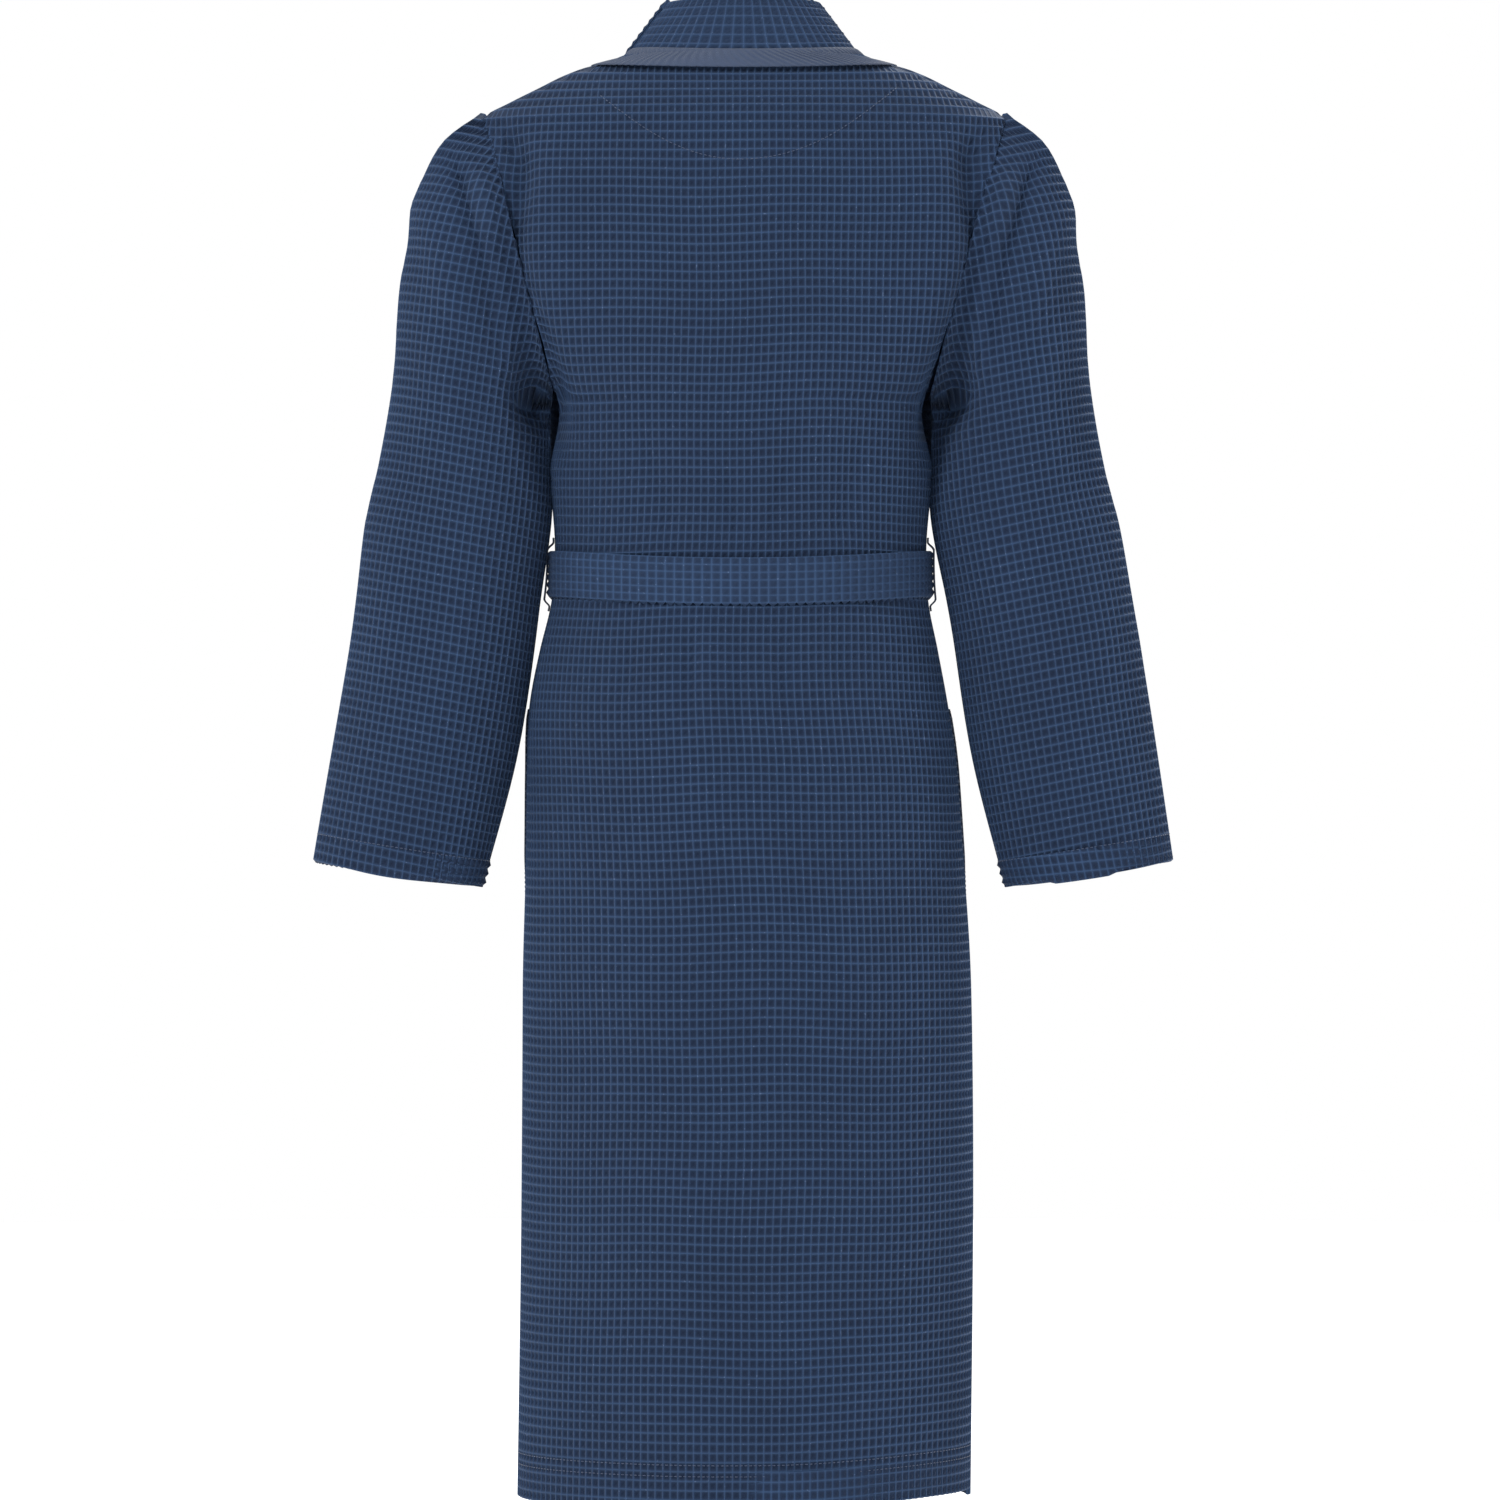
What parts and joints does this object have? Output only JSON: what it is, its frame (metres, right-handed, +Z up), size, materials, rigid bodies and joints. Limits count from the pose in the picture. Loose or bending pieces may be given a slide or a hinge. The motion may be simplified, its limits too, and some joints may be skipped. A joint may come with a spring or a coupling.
{
  "type": "bathrobe",
  "caption": "Knee-length waffle-cloth bathrobe with a standing kimono band, wide straight sleeves, patch pockets and a tied belt, hung by its neck loop.",
  "frame": {"origin": "middle of the hanger loop's underside, where a hook carries the robe", "axes": "+Z up, the robe's length hangs down -Z; -Y is the robe's front and +Y its back; +X is the wearer's left"},
  "size_m": [0.7156, 0.2684, 1.2413],
  "materials": {
    "waffle_cloth": "matt cotton waffle pique, navy",
    "belt_cloth": "matt cotton waffle pique, navy, folded and topstitched",
    "trim_cloth": "navy cotton tape and pressed seam allowance",
    "label_satin": "blank woven satin"
  },
  "bodies": {
    "gown": {"back_panel": "waffle_cloth", "front_left_panel": "waffle_cloth", "front_right_panel": "waffle_cloth", "front_band_left": "waffle_cloth", "front_band_right": "waffle_cloth", "collar_band_back": "waffle_cloth", "pocket_left": "waffle_cloth", "pocket_right": "waffle_cloth", "back_neck_facing": "waffle_cloth", "back_hem": "waffle_cloth", "front_left_hem": "waffle_cloth", "front_right_hem": "waffle_cloth", "belt_wrap": "belt_cloth", "belt_knot": "belt_cloth", "side_seam_left": "trim_cloth", "side_seam_right": "trim_cloth", "shoulder_seam_left": "trim_cloth", "shoulder_seam_right": "trim_cloth", "neck_binding": "trim_cloth", "belt_loop_left": "trim_cloth", "belt_loop_right": "trim_cloth", "hanger_loop": "trim_cloth", "pocket_hem_left": "trim_cloth", "pocket_hem_right": "trim_cloth", "neck_label": "label_satin"},
    "left_sleeve": {"sleeve_left": "waffle_cloth", "cuff_hem_left": "waffle_cloth"},
    "right_sleeve": {"sleeve_right": "waffle_cloth", "cuff_hem_right": "waffle_cloth"},
    "left_tail": {"belt_tail_left": "belt_cloth"},
    "right_tail": {"belt_tail_right": "belt_cloth"}
  },
  "joints": [
    {"name": "left_sleeve_raise", "type": "hinge", "parent": "gown", "child": "left_sleeve", "pos_m": [0.2172, -0.0433, -0.0685], "axis": [0, -1, 0], "range_deg": [0, 60]},
    {"name": "right_sleeve_raise", "type": "hinge", "parent": "gown", "child": "right_sleeve", "pos_m": [-0.2172, -0.0433, -0.0685], "axis": [0, 1, 0], "range_deg": [0, 60]},
    {"name": "left_tail_swing", "type": "hinge", "parent": "gown", "child": "left_tail", "pos_m": [0.021, -0.1614, -0.4774], "axis": [-1, 0, 0], "range_deg": [0, 60]},
    {"name": "right_tail_swing", "type": "hinge", "parent": "gown", "child": "right_tail", "pos_m": [-0.021, -0.1614, -0.4774], "axis": [-1, 0, 0], "range_deg": [0, 60]}
  ]
}
